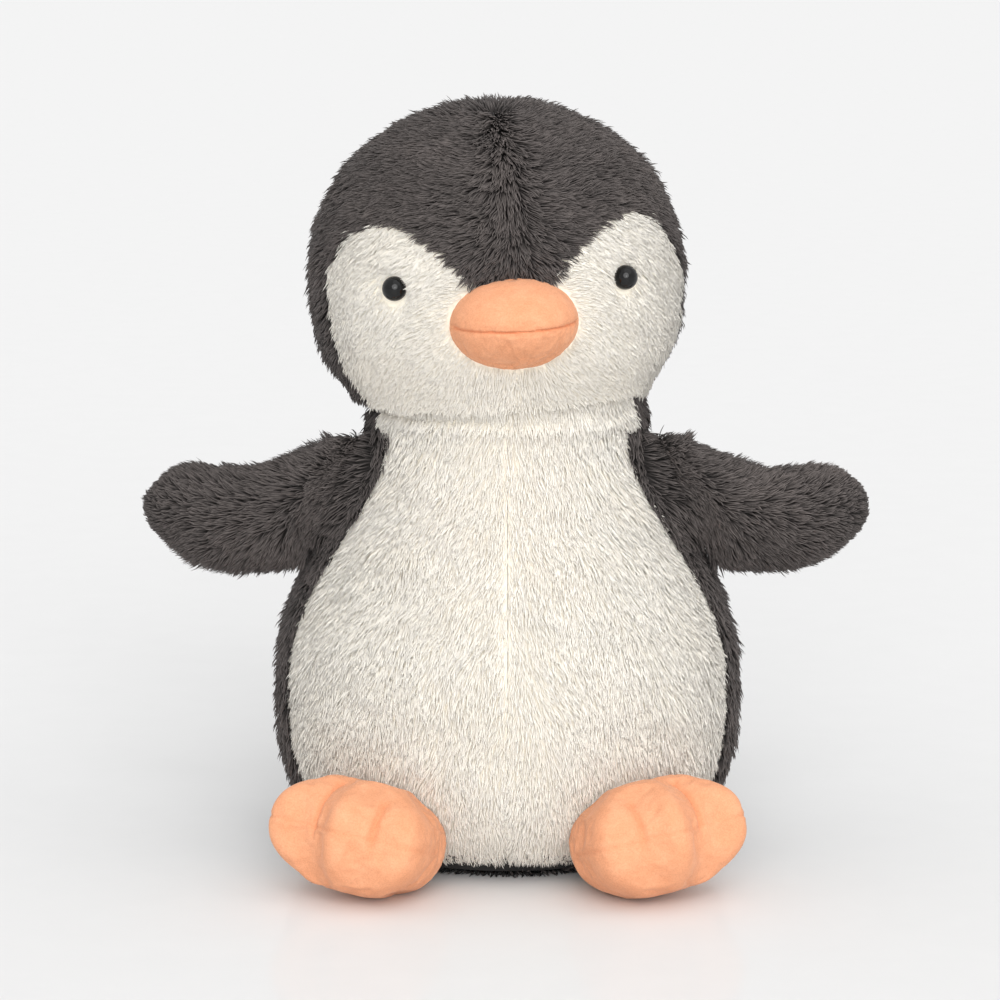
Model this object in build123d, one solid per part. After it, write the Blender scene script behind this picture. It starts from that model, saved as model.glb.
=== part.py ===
"""A seated plush penguin, built as it comes apart on a bench: sewn fabric panels around
separate fillings, a bag of weighting pellets in the base, two plastic eyes held by washers,
and the sewing threads that wings, feet and head turn on.

Frame: millimetres, +Z up, the penguin faces -Y, origin on the floor under the middle of the
base. Left and right are the penguin's own, so its left side is at +X. The fabric surfaces are
where the pile begins: the pile stands about PILE_STAND further out.
"""

import math
import os

from build123d import *

# ---- Driving dimensions ----
PILE_STAND = 5.0  # how far the pile stands off the fabric, for reference
SKIN = 2.5  # backing cloth with the dense foot of the pile
GAP = 0.3  # clearance between a panel and the filling behind it
SEAM = 0.4  # gap between two panels where they are sewn together

TORSO_WIDEST_Z = 74.0
TORSO_HALF_WIDTH = 98.0
TORSO_RIM_Z = 190.0
NECK_HALF_WIDTH = 58.0
DEPTH_SHARE = 0.87  # the torso's depth over its width
BASE_SHARE = 0.64  # how much of the squared width is lost between the widest part and the floor
BASE_TOP_Z = 10.0

HEAD_CENTRE_Z = 249.5
HEAD_HALF_WIDTH = 77.5
HEAD_RISE = 74.5  # from the widest section to the crown
HEAD_DROP = 81.6  # the same towards the neck, if it weren't cut off there
HEAD_RIM_Z = 202.5
HEAD_DEPTH_SHARE = 0.9
HEAD_SEAM_Y = -20.0  # the ear to ear seam, in the head's own frame
HEAD_SEAM_SKEW = 5.0  # it was sewn a little further forward on the right
HEAD_YAW = 5.8
HEAD_ROLL = -2.2
HEAD_SHIFT_X = -2.5

NECK_PIVOT_Z = 196.0
NECK_DOME_GAP = 2.6  # between the two fillings on the neck's axis
NECK_DOME_RADIUS = 344.0
NECK_THREAD_RADIUS = 0.6

BEAK_CENTRE = (0.0, -61.0, 238.5)
BEAK_HALF = (27.0, 31.5, 19.5)

EYE_X = 47.0
EYE_Z = 254.0
EYE_RADIUS = 5.2
EYE_LIFT = 2.0
EYE_POST_RADIUS = 1.5
EYE_POST_LENGTH = 12.0
WASHER_RADIUS = 6.5
WASHER_THICK = 1.2
WASHER_BACK = 1.1  # behind the fabric, which curves
POST_CLEARANCE = 0.05

WING_Y = -14.0
WING_ROOT = (74.5, 157.5)  # x and z of the middle of the sewn root
WING_ROOT_LEAN = 25.5  # the root seam's lean from upright, in degrees
WING_THREAD_HALF = 16.0
WING_THREAD_RADIUS = 0.8
WING_ROOT_CLEAR = 1.1  # from the thread's axis to the wing's root edge
WING_ROOT_WEDGE = 45.0

FOOT_HALF_THICK = 23.0
FOOT_HINGE = (43.0, 19.0)  # x and z of the middle of the seam that the foot flexes about
FOOT_OUT = 1.0  # from the torso's fabric to that seam
FOOT_RAISE = 18.0
FOOT_ROLL = 6.0
FOOT_UP = 9.0  # a little more than the flex limits, in degrees
FOOT_DOWN = 16.0
FOOT_CLEAR = 1.2
FOOT_LEAN = 37.0  # how far below level the torso faces at the foot's seam, in degrees

POUCH_HALF = (52.0, 45.0, 12.0)
POUCH_Z = 20.0
POUCH_CLOTH = 0.8

WIDE = 900.0  # larger than the whole toy, for cutting tools

os.makedirs("parts", exist_ok=True)


# ---- Small helpers ----
def box_between(low, high):
    """A box given by its two extreme corners."""
    size = [b - a for a, b in zip(low, high)]
    centre = [(a + b) / 2 for a, b in zip(low, high)]
    return Pos(*centre) * Box(*size)


def ellipse_stack(levels):
    """A smooth solid through horizontal ellipses, each (z, half width, half depth)."""
    return loft([Pos(0, 0, z) * Ellipse(a, b) for z, a, b in levels])


def ellipsoid(centre, half):
    return Pos(*centre) * scale(Sphere(1), by=tuple(half))


def side_prism(points, closing):
    """A region in the YZ plane, bounded by a spline and straight closing lines, run along X."""
    edge = Spline(*[(0, y, z) for y, z in points])
    rest = Polyline(*[(0, y, z) for y, z in [points[-1], *closing, points[0]]])
    return extrude(make_face(edge + rest), amount=WIDE / 2, dir=(1, 0, 0), both=True)


def front_prism(points, closing, y_from, y_to):
    """A region in the XZ plane, bounded by a spline and straight closing lines, run along Y."""
    edge = Spline(*[(x, y_from, z) for x, z in points])
    rest = Polyline(*[(x, y_from, z) for x, z in [points[-1], *closing, points[0]]])
    return extrude(make_face(edge + rest), amount=y_to - y_from, dir=(0, 1, 0))


def pillow(outline, centre, half_thick, inset):
    """Two sewn panels filled out: an outline in the XY plane that rounds off towards +Z and -Z.
    inset moves the whole surface inwards."""
    reach = sum(math.dist(p, centre) for p in outline) / len(outline)
    shrink = (reach - inset) / reach
    top = half_thick - inset
    faces = []
    for turn in range(-76, 77, 19):
        level = math.sin(math.radians(turn))
        size = shrink * (1 - abs(level) ** 2.3) ** 0.5
        points = [
            (centre[0] + size * (x - centre[0]), centre[1] + size * (y - centre[1]))
            for x, y in outline
        ]
        faces.append(Pos(0, 0, level * top) * make_face(Spline(*points, periodic=True)))
    return loft(faces)


def mirrored(shape, side):
    """The shape itself for the left side (+1), or its mirror image for the right (-1)."""
    return shape if side > 0 else mirror(shape, about=Plane.YZ)


def cut(shape, *tools):
    """Takes each tool off the shape and returns what is left as one part."""
    for tool in tools:
        shape = shape - tool
    return Part() + shape.solids()


def write(name, shape):
    export_step(Part() + shape.solids(), f"parts/{name}.step")


# ---- Torso ----
def torso_half_width(z):
    if z <= TORSO_WIDEST_Z:
        fall = (TORSO_WIDEST_Z - z) / TORSO_WIDEST_Z
        return TORSO_HALF_WIDTH * math.sqrt(1 - BASE_SHARE * fall**3)
    rise = min(1.0, (z - TORSO_WIDEST_Z) / (TORSO_RIM_Z - TORSO_WIDEST_Z))
    bell = 0.5 * (1 + math.cos(math.pi * rise**1.15))
    return NECK_HALF_WIDTH + (TORSO_HALF_WIDTH - NECK_HALF_WIDTH) * bell


def torso(inset, low, high):
    """The torso's shape, moved inwards by inset, between two heights."""
    steps = 10
    levels = []
    for i in range(steps + 1):
        z = low + (high - low) * i / steps
        half = torso_half_width(min(z, TORSO_RIM_Z))
        levels.append((z, half - inset, half * DEPTH_SHARE - inset))
    return ellipse_stack(levels)


def side_seam(shift):
    """The spline of the seam between belly and back, seen from the side."""
    points = [(-48, -2), (-42, 10), (-34, 28), (-28, 52), (-26, 100), (-26, 150), (-24, 200)]
    return [(y + shift, z) for y, z in points]


def torso_panels():
    shell = torso(0, 0, TORSO_RIM_Z) - torso(SKIN, SKIN, TORSO_RIM_Z + 6)
    far = WIDE / 2
    front = side_prism(side_seam(-SEAM / 2), [(-far, 205), (-far, -2)])
    rear = side_prism(side_seam(SEAM / 2), [(far, 205), (far, -2)])
    upper = box_between((-far, -far, BASE_TOP_Z + SEAM), (far, far, far))
    write("base_panel", shell & box_between((-far, -far, -1), (far, far, BASE_TOP_Z)))
    for side, word in ((1, "left"), (-1, "right")):
        half = mirrored(box_between((SEAM / 2, -far, -1), (far, far, far)), side)
        write(f"{word}_belly_panel", shell & upper & half & front)
        write(f"{word}_back_panel", shell & upper & half & rear)


def torso_inside():
    """The filling, domed where it meets the head's, around the pouch of pellets."""
    low, high = SKIN + GAP, TORSO_RIM_Z + 8
    crown = NECK_PIVOT_Z - NECK_DOME_GAP / 2
    dome = Pos(0, 0, crown - NECK_DOME_RADIUS) * Sphere(NECK_DOME_RADIUS)
    place = (0, 0, POUCH_Z)
    room = [h + GAP for h in POUCH_HALF]
    packed = [h - POUCH_CLOTH for h in POUCH_HALF]
    loose = [h - POUCH_CLOTH - 0.1 for h in POUCH_HALF]
    filling = (torso(SKIN + GAP, low, high) & dome) - ellipsoid(place, room)
    write("body_filling", filling)
    write("pellet_pouch", ellipsoid(place, POUCH_HALF) - ellipsoid(place, packed))
    write("weighting_pellets", ellipsoid(place, loose))


# ---- Head ----
HEAD_POSE = (
    Pos(HEAD_SHIFT_X, 0, NECK_PIVOT_Z) * Rot(0, HEAD_ROLL, HEAD_YAW) * Pos(0, 0, -NECK_PIVOT_Z)
)


def head_half_width(z):
    if z >= HEAD_CENTRE_Z:
        return HEAD_HALF_WIDTH * math.sqrt(1 - ((z - HEAD_CENTRE_Z) / HEAD_RISE) ** 2.2)
    return HEAD_HALF_WIDTH * math.sqrt(1 - ((HEAD_CENTRE_Z - z) / HEAD_DROP) ** 2)


def head(inset, low):
    """The head's shape, moved inwards by inset, from a height up to the crown."""
    steps = 11
    top = HEAD_CENTRE_Z + HEAD_RISE
    squeeze = (HEAD_RISE - inset) / HEAD_RISE
    levels = []
    for i in range(steps + 1):
        share = math.sin(0.5 * math.pi * i / steps)  # closer together towards the crown
        z = low + (top - 0.4 - low) * share
        half = head_half_width(max(z, HEAD_RIM_Z))
        drawn = z if z < HEAD_CENTRE_Z else HEAD_CENTRE_Z + (z - HEAD_CENTRE_Z) * squeeze
        wide = max(half - inset, 3.0)
        levels.append((drawn, wide, max(half * HEAD_DEPTH_SHARE - inset, 2.7)))
    return ellipse_stack(levels)


def face_region(drop):
    """Everything below the arch of the pale cheeks, in front of the ear to ear seam."""
    arch = [(0, 237), (16, 257), (30, 273), (46, 281), (60, 277), (70, 265), (78, 247)]
    right = [(x, z - drop) for x, z in arch]
    points = [(-x, z) for x, z in reversed(right)][:-1] + right
    closing = [(110, 247 - drop), (110, 190), (-110, 190), (-110, 247 - drop)]
    return front_prism(points, closing, -120, 0)


def eye_place(side):
    """Where an eye sits on the fabric, with its Z axis pointing out of the face."""
    half = head_half_width(EYE_Z)
    deep = half * HEAD_DEPTH_SHARE
    y = -deep * math.sqrt(1 - (EYE_X / half) ** 2)
    out = Vector(side * EYE_X / half**2, y / deep**2, 0)
    return Plane(origin=(side * EYE_X, y, EYE_Z), x_dir=(0, 0, 1), z_dir=out)


def eye_parts(side):
    """The eye with its post, and the washer that locks it behind the fabric."""
    ball = Pos(0, 0, EYE_LIFT) * Sphere(EYE_RADIUS)
    dome = ball & box_between((-9, -9, 0.35), (9, 9, 12))
    post = Pos(0, 0, 1 - EYE_POST_LENGTH / 2) * Cylinder(EYE_POST_RADIUS, EYE_POST_LENGTH)
    back = -SKIN - WASHER_BACK - WASHER_THICK / 2
    washer = Pos(0, 0, back) * (
        Cylinder(WASHER_RADIUS, WASHER_THICK)
        - Cylinder(EYE_POST_RADIUS + POST_CLEARANCE, WASHER_THICK * 2)
    )
    place = eye_place(side).location
    return place * (dome + post), place * washer


def eye_room(side):
    """The hole and pocket that an eye's post and washer need."""
    hole = Pos(0, 0, -4) * Cylinder(EYE_POST_RADIUS + 0.15, EYE_POST_LENGTH + 10)
    pocket = Pos(0, 0, -SKIN - 2) * Cylinder(WASHER_RADIUS + GAP, 6)
    place = eye_place(side).location
    return place * hole, place * pocket


def head_parts():
    far = WIDE / 2
    shell = head(0, HEAD_RIM_Z) - head(SKIN, HEAD_RIM_Z - 8)
    skew = Pos(0, HEAD_SEAM_Y, 0) * Rot(0, 0, HEAD_SEAM_SKEW)
    front = skew * box_between((-far, -far, 0), (far, -SEAM / 2, far))
    rear = skew * box_between((-far, SEAM / 2, 0), (far, far, far))
    holes = [eye_room(side) for side in (1, -1)]
    face_tool = face_region(SEAM)
    hood_tool = face_region(0)
    for side, word in ((1, "left"), (-1, "right")):
        half = mirrored(box_between((SEAM / 2, -far, 0), (far, far, far)), side)
        face = cut(shell & half & front & face_tool, *[post for post, _ in holes])
        write(f"{word}_face_panel", HEAD_POSE * face)
        write(f"{word}_hood_panel", HEAD_POSE * ((shell & half & front) - hood_tool))
        write(f"{word}_back_head_panel", HEAD_POSE * (shell & half & rear))
        eye, washer = eye_parts(side)
        write(f"{word}_eye", HEAD_POSE * eye)
        write(f"{word}_eye_washer", HEAD_POSE * washer)

    floor = NECK_PIVOT_Z + NECK_DOME_GAP / 2
    dome = Pos(0, 0, floor + NECK_DOME_RADIUS) * Sphere(NECK_DOME_RADIUS)
    filling = head(SKIN + GAP, HEAD_RIM_Z - 8) & dome
    filling = cut(filling, *[tool for pair in holes for tool in pair])
    write("head_filling", HEAD_POSE * filling)

    outside = head(-GAP, HEAD_RIM_Z)
    beak = ellipsoid(BEAK_CENTRE, BEAK_HALF) - outside
    inner = ellipsoid(BEAK_CENTRE, [h - SKIN / 2 for h in BEAK_HALF]) - outside
    core = ellipsoid(BEAK_CENTRE, [h - SKIN / 2 - GAP for h in BEAK_HALF]) - outside
    seam_z = BEAK_CENTRE[2]
    over = box_between((-far, -far, seam_z + SEAM / 2), (far, far, far))
    under = box_between((-far, -far, 0), (far, far, seam_z - SEAM / 2))
    write("upper_beak_panel", HEAD_POSE * ((beak - inner) & over))
    write("lower_beak_panel", HEAD_POSE * ((beak - inner) & under))
    write("beak_filling", HEAD_POSE * core)


def neck_thread():
    """The hand-sewn loop that closes the neck, lying on the torso's rim."""
    z = TORSO_RIM_Z + NECK_THREAD_RADIUS + 0.7
    wide = NECK_HALF_WIDTH - 0.8
    path = Pos(0, 0, z) * Ellipse(wide, wide * DEPTH_SHARE + 1.2).edge()
    section = Plane(origin=path @ 0, z_dir=path % 0) * Circle(NECK_THREAD_RADIUS)
    write("neck_seam_thread", sweep(section, path=path))


# ---- Wings ----
# Upright ellipses across the left wing, from the root out:
# x, height of the middle, half height, half thickness.
WING_SECTIONS = [
    (56, 163.5, 20.5, 9.5), (68, 160.5, 21.2, 10.5), (82, 155, 21.6, 10.8), (98, 149.5, 20.3, 10.8),
    (113, 147.8, 19, 10.5), (127, 149.3, 18.4, 10), (138.5, 151.5, 16, 9), (146.5, 152.5, 12, 7.5),
    (151.5, 152.8, 7, 5), (153.3, 152.9, 3.2, 2.6),
]  # fmt: skip


def wing_root_plane():
    """At the middle of the wing's root: Z runs up the root seam and X points out of the body."""
    lean = math.radians(WING_ROOT_LEAN)
    return Plane(
        origin=(WING_ROOT[0], WING_Y, WING_ROOT[1]),
        x_dir=(math.cos(lean), 0, math.sin(lean)),
        z_dir=(-math.sin(lean), 0, math.cos(lean)),
    )


def wing_shape(inset):
    """A left wing, its root drawn in to a wedge so that it can swing about the root seam."""
    rings = []
    for x, z, tall, thick in WING_SECTIONS:
        ring = Ellipse(thick * (1 - inset / 10.5), tall * (1 - inset / 20))
        place = Plane(origin=(x - inset * (x > 140), WING_Y, z), x_dir=(0, 1, 0), z_dir=(1, 0, 0))
        rings.append(place * ring)
    spread = math.radians(WING_ROOT_WEDGE)
    start = WING_ROOT_CLEAR + inset * 1.4
    tip = (start + WIDE * math.cos(spread), WIDE * math.sin(spread))
    wedge = make_face(Polyline((start, 0), tip, (tip[0], -tip[1]), (start, 0)))
    return loft(rings) & (wing_root_plane() * extrude(wedge, amount=WIDE / 2, both=True))


def wing_parts():
    far = WIDE / 2
    outer, inner, core = (wing_shape(i) for i in (0, SKIN, SKIN + GAP))
    front = box_between((-far, -far, 0), (far, WING_Y - SEAM / 2, far))
    rear = box_between((-far, WING_Y + SEAM / 2, 0), (far, far, far))
    thread = wing_root_plane() * Cylinder(WING_THREAD_RADIUS, 2 * WING_THREAD_HALF)
    for side, word in ((1, "left"), (-1, "right")):
        write(f"{word}_wing_front_panel", mirrored((outer - inner) & front, side))
        write(f"{word}_wing_back_panel", mirrored((outer - inner) & rear, side))
        write(f"{word}_wing_filling", mirrored(core, side))
        write(f"{word}_wing_root_thread", mirrored(thread, side))


# ---- Feet ----
# Around the left foot from its heel, as (angle from the toes' direction, distance): the three
# toes are the three far points, and the outer toe is the narrowest.
FOOT_OUTLINE = [
    (180, 5), (-125, 12), (-75, 23), (-46, 37), (-27, 55), (-11, 55), (3, 62), (18, 55),
    (36, 64), (47, 55), (64, 35), (110, 14),
]  # fmt: skip
FOOT_CENTRE = (31, 5)


def foot_seam():
    """The middle of the foot's seam on the torso, and the way the torso faces there."""
    x, z = FOOT_HINGE
    half = torso_half_width(z)
    deep = half * DEPTH_SHARE
    y = -deep * math.sqrt(1 - (x / half) ** 2)
    splay = math.atan2(x / half**2, -y / deep**2)
    shift = FOOT_OUT * 1.2  # the torso leans outwards here, so a little more sideways
    middle = (x + shift * math.sin(splay), y - shift * math.cos(splay), z)
    return middle, splay


def foot_shape(inset):
    """The whole left foot, with its three toes, standing on its lowest point."""
    rim = [(r * math.cos(math.radians(a)), r * math.sin(math.radians(a))) for a, r in FOOT_OUTLINE]
    (x, y, z), splay = foot_seam()
    turn = Rot(0, 0, math.degrees(splay) - 90) * Rot(FOOT_ROLL, -FOOT_RAISE, 0)
    return Pos(x, y, z) * turn, pillow(rim, FOOT_CENTRE, FOOT_HALF_THICK, inset)


def foot_filling_room(middle, splay):
    """The torso's side of its tangent plane at the seam, at each end of the foot's travel. The
    torso is convex, so a filling cut off by these planes can't reach it."""
    lean = math.radians(FOOT_LEAN)
    level = math.cos(lean)
    facing = (level * math.sin(splay), -level * math.cos(splay), -math.sin(lean))
    across = (math.cos(splay), math.sin(splay), 0)
    tangent = Plane(origin=middle, x_dir=across, z_dir=facing)
    far = WIDE / 2
    behind = tangent * box_between((-far, -far, -far), (far, far, GAP))
    return [behind.rotate(Axis(middle, across), turn) for turn in (FOOT_UP, -FOOT_DOWN)]


def foot_parts():
    middle, splay = foot_seam()
    across = (math.cos(splay), math.sin(splay), 0)
    place, whole = foot_shape(0)
    place = Pos(0, 0, -(place * whole).bounding_box().min.Z) * place
    belly = torso(-FOOT_CLEAR, -2, TORSO_WIDEST_Z)
    room = [belly.rotate(Axis(middle, across), turn) for turn in (FOOT_UP, 0, -FOOT_DOWN)]
    outer, inner, core = (place * foot_shape(inset)[1] for inset in (0, SKIN, SKIN + GAP))
    far = WIDE / 2
    over = place * box_between((-far, -far, SEAM / 2), (far, far, far))
    under = place * box_between((-far, -far, -far), (far, far, -SEAM / 2))
    shell = cut(outer, inner, *room)
    filling = cut(core, *foot_filling_room(middle, splay))
    for side, word in ((1, "left"), (-1, "right")):
        write(f"{word}_foot_top_panel", mirrored(shell & over, side))
        write(f"{word}_foot_sole_panel", mirrored(shell & under, side))
        write(f"{word}_foot_filling", mirrored(filling, side))


torso_panels()
torso_inside()
head_parts()
neck_thread()
wing_parts()
foot_parts()
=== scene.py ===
"""Looks of the plush penguin: long pile grown from every plush panel, cloth beak and feet filled
out by simulation, glossy eyes, and a pale studio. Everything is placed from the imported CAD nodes.
Lengths are worked out in millimetres and turned into metres when a mesh is made."""

import math

import bmesh
import bpy
import numpy as np
from mathutils import Matrix, Vector
from mathutils.bvhtree import BVHTree
from mathutils.kdtree import KDTree


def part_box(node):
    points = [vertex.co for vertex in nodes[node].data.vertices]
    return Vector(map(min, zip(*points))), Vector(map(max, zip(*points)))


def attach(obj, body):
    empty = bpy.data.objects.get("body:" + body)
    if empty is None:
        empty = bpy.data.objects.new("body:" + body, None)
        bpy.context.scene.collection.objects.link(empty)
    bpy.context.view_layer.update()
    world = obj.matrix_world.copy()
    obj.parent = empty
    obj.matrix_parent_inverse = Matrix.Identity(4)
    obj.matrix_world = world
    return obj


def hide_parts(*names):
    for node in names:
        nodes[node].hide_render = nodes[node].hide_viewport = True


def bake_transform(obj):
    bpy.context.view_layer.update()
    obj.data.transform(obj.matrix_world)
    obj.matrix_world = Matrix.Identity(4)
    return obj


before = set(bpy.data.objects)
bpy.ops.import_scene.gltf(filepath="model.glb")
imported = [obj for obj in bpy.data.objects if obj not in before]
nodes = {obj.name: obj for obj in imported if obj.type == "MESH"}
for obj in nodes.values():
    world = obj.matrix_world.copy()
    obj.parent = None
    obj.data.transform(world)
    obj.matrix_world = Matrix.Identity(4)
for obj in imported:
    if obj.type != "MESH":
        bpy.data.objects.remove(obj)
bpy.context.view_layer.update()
MM = 0.001

PIVOT = np.array([0.0, 0.0, 196.0])  # the neck
HEAD_SHIFT = np.array([-2.5, 0.0, 0.0])
HEAD_TURN = np.array(
    Matrix.Rotation(math.radians(-2.2), 3, "Y") @ Matrix.Rotation(math.radians(5.8), 3, "Z")
)
WING_ROOT = np.array([74.5, -14.0, 157.5])
WING_LEAN = math.radians(25.5)
BEAK_Z = 238.5
EYE_X, EYE_Z = 47.0, 254.0
HEAD_Z, HEAD_WIDE, HEAD_RISE = 249.5, 77.5, 74.5
MOST_LOCKS = 11500  # in one piece, so that none is too heavy to export

ROOT_DEPTH = 0.7  # how far a lock's root is sunk under the cloth
CLUMP_SIZE = 3.4  # across one clump of locks
CLUMP_REACH = 4.2  # the furthest that a lock is drawn towards its clump
LOCK_CORNERS = 10  # three rings of three, and a tip

LOOK_FROM = 150.0  # where the looks start that find a pad's surface
LEAST_FACING = 0.15  # cosine between a look and a face that counts as outer
BARE_REACH = 3.0  # a look that comes nearer the middle than this met no outer face
SKIN_ROUNDS = 500  # of drawing the skin tight over such places

NECK_STEPS, CUFF_STEPS = 140, 60  # corners round each ring
NECK_LOCKS, CUFF_LOCKS = 4200, 1300

VIEW_DISTANCE, VIEW_ELEVATION = 1.6, math.radians(9.6)
VIEW_WIDTH = 0.434  # seen across the picture at the toy
VIEW_TARGET = Vector((-0.0032, 0, 0.1534))
FLOOR_HALF = 300


# ---- Small maths ----
def unit(v):
    return v / np.maximum(np.linalg.norm(v, axis=-1, keepdims=True), 1e-9)


def to_head(points):
    """Points of the row frame in the head's own frame, where it looks straight along -Y."""
    return (points - PIVOT - HEAD_SHIFT) @ HEAD_TURN + PIVOT


def from_head(vectors):
    return vectors @ HEAD_TURN.T


def ripple(points, size, seed):
    """Smooth noise of about -1 to 1 whose lumps are about size across."""
    r = np.random.default_rng(seed)
    total = np.zeros(len(points))
    for _ in range(7):
        k = unit(r.normal(size=3)) * 2 * math.pi / size * r.uniform(0.5, 1.3)
        total += np.sin(points @ k + r.uniform(0, 6.28))
    return total / 2.6


def ramp(x, low, high):
    t = np.clip((x - low) / (high - low), 0, 1)
    return t * t * (3 - 2 * t)


# ---- Reading the CAD panels ----
def arrays(mesh):
    """Welded corners in millimetres and the triangles of a mesh."""
    mesh.calc_loop_triangles()
    co = np.empty(3 * len(mesh.vertices), np.float32)
    mesh.vertices.foreach_get("co", co)
    tri = np.empty(3 * len(mesh.loop_triangles), np.int32)
    mesh.loop_triangles.foreach_get("vertices", tri)
    co = co.reshape(-1, 3).astype(float) / MM
    _, first, back = np.unique(
        np.round(co * 500).astype(np.int64), axis=0, return_index=True, return_inverse=True
    )
    tri = back.reshape(-1)[tri.reshape(-1, 3)]
    good = (tri[:, 0] != tri[:, 1]) & (tri[:, 1] != tri[:, 2]) & (tri[:, 2] != tri[:, 0])
    return co[first], tri[good]


def thinned(node, share):
    """A lighter copy of a CAD node's mesh."""
    obj = bpy.data.objects.new("thin", nodes[node].data.copy())
    bpy.context.scene.collection.objects.link(obj)
    weld = obj.modifiers.new("weld", "WELD")
    weld.merge_threshold = 2e-6
    thin = obj.modifiers.new("thin", "DECIMATE")
    thin.ratio = share
    mesh = bpy.data.meshes.new_from_object(
        obj.evaluated_get(bpy.context.evaluated_depsgraph_get())
    )
    out = arrays(mesh)
    bpy.data.objects.remove(obj)
    bpy.data.meshes.remove(mesh)
    return out


def surface_of(node):
    return BVHTree.FromPolygons(*(a.tolist() for a in arrays(nodes[node].data)))


def outside(co, tri, filling, gap):
    """Which triangles lie on the panel's outer face, further than gap from the filling."""
    far = np.array([filling.find_nearest(Vector(c))[3] or 0 for c in co.tolist()]) > gap
    return far[tri].all(axis=1)


# ---- Pile ----
def corner_normals(co, tri):
    cross = np.cross(co[tri[:, 1]] - co[tri[:, 0]], co[tri[:, 2]] - co[tri[:, 0]])
    out = np.zeros_like(co)
    for k in range(3):
        np.add.at(out, tri[:, k], cross)
    return unit(out), np.linalg.norm(cross, axis=1) / 2


def scatter(co, tri, count, rng):
    """Evenly spread roots on triangles, with the surface's normal at each."""
    normals, area = corner_normals(co, tri)
    pick = rng.choice(len(tri), count * 7, p=area / area.sum())
    a, b = rng.random((2, len(pick)))
    fold = a + b > 1
    a[fold], b[fold] = 1 - a[fold], 1 - b[fold]
    w = np.stack([1 - a - b, a, b], axis=1)[:, :, None]
    points = (co[tri[pick]] * w).sum(axis=1)
    directions = unit((normals[tri[pick]] * w).sum(axis=1))
    cell = np.floor(points / math.sqrt(1.42 * area.sum() / count)).astype(np.int64)
    keep = np.unique(cell, axis=0, return_index=True)[1]
    keep = rng.permutation(keep)[:count]
    return points[keep], directions[keep]


def locks(points, normals, flow, style, rng):
    """Curved tapering locks of pile: the corners of each lock and the two shades of each corner.
    The first shade is the lock's own tone, with the style's painted highlight added; the second runs
    from 0 at its root to 1 at its tip, and the pile's colour is darker towards 0 as painted shade."""
    n = len(points)
    side = np.cross(normals, flow)
    sway = rng.normal(size=n) * style.get("sway", 0.22) + 0.15 * ripple(points, 16, 5)
    flow = unit(flow * np.cos(sway)[:, None] + side * np.sin(sway)[:, None])
    length = style["length"] * (1 + 0.16 * rng.normal(size=n)).clip(0.6, 1.5)
    length = length * style["short"](points) * (1 + 0.1 * ripple(points, 22, 9))
    start = np.radians(style["lift"][0] + 9 * rng.normal(size=n)) + style["raise"](points)
    end = np.radians(style["lift"][1] + 9 * rng.normal(size=n)) + 0.7 * style["raise"](points)
    centre = np.empty((4, n, 3))
    centre[0] = points - ROOT_DEPTH * normals
    steps = ((0.4, 0.2), (0.35, 0.575), (0.25, 0.875))
    bend = rng.normal(size=n) * 0.16
    for k, (part, at) in enumerate(steps):
        angle = start + (end - start) * at
        along = unit(flow + (bend * at)[:, None] * side)
        step = along * np.cos(angle)[:, None] + normals * np.sin(angle)[:, None]
        centre[k + 1] = centre[k] + step * (part * length + (0.9 if k == 0 else 0))[:, None]
    cell = np.floor(points / CLUMP_SIZE + ripple(points, 9, 3)[:, None] * 0.5).astype(np.int64)
    heads = np.unique(cell, axis=0, return_index=True)[1]
    tree = KDTree(len(heads))
    for i, h in enumerate(heads):
        tree.insert(points[h], i)
    tree.balance()
    own = heads[[tree.find(p)[1] for p in points.tolist()]]
    pull = style.get("clump", 0.55) * (0.65 + 0.5 * rng.random(n))
    for k, share in ((1, 0.16), (2, 0.55), (3, 1.0)):
        offset = centre[k][own] - centre[k]
        reach = np.linalg.norm(offset, axis=1)
        pulled = np.minimum(1, CLUMP_REACH / np.maximum(reach, 1e-6))
        centre[k] = centre[k] + offset * (pull * share * pulled)[:, None]
    floor = style.get("floor", 0.25)
    half = style["width"] * (0.75 + 0.5 * rng.random(n))
    turn = math.pi / 2 + (rng.random(n) - 0.5) * style.get("roll", 6.28)
    thick = style.get("thick", 0.62)
    rings, shades = [], []
    own_shade = 0.5 + 0.2 * ripple(points, 30, 21) + 0.1 * rng.normal(size=n)
    # random tone per lock and per clump, plus the style's painted highlight
    own_shade = own_shade + 0.12 * rng.normal(size=n)[own] + style["bright"](points)
    own_shade = own_shade.clip(0.03, 0.97)
    for k, (wide, tone) in enumerate(((0.8, 0.0), (1.0, 0.38), (0.66, 0.74))):
        ahead = unit(centre[k + 1] - centre[max(k - 1, 0)])
        u = unit(np.cross(ahead, normals + 0.01 * flow))
        v = np.cross(ahead, u)
        u, v = (
            u * np.cos(turn)[:, None] + v * np.sin(turn)[:, None],
            v * np.cos(turn)[:, None] - u * np.sin(turn)[:, None],
        )
        for corner in range(3):
            a = 2 * math.pi * corner / 3
            ring = u * (math.cos(a) * half * wide)[:, None]
            ring = ring + v * (math.sin(a) * half * wide * thick)[:, None]
            rings.append(centre[k] + ring)
            shades.append(np.stack([own_shade, np.full(n, tone)], axis=1))
    rings.append(centre[3])
    shades.append(np.stack([own_shade, np.ones(n)], axis=1))
    co = np.stack(rings, axis=1)
    co[:, :, 2] = np.maximum(co[:, :, 2], floor)
    return co, np.stack(shades, axis=1)


def lock_faces(n):
    """The triangles of n locks: a root cap, two bands and a tip."""
    tri = [(0, 2, 1)]
    for k in range(2):
        for c in range(3):
            a, b = 3 * k + c, 3 * k + (c + 1) % 3
            tri += [(a, b, b + 3), (a, b + 3, a + 3)]
    tri += [(6 + c, 6 + (c + 1) % 3, 9) for c in range(3)]
    return (np.array(tri)[None] + LOCK_CORNERS * np.arange(n)[:, None, None]).reshape(-1, 3)


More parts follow.
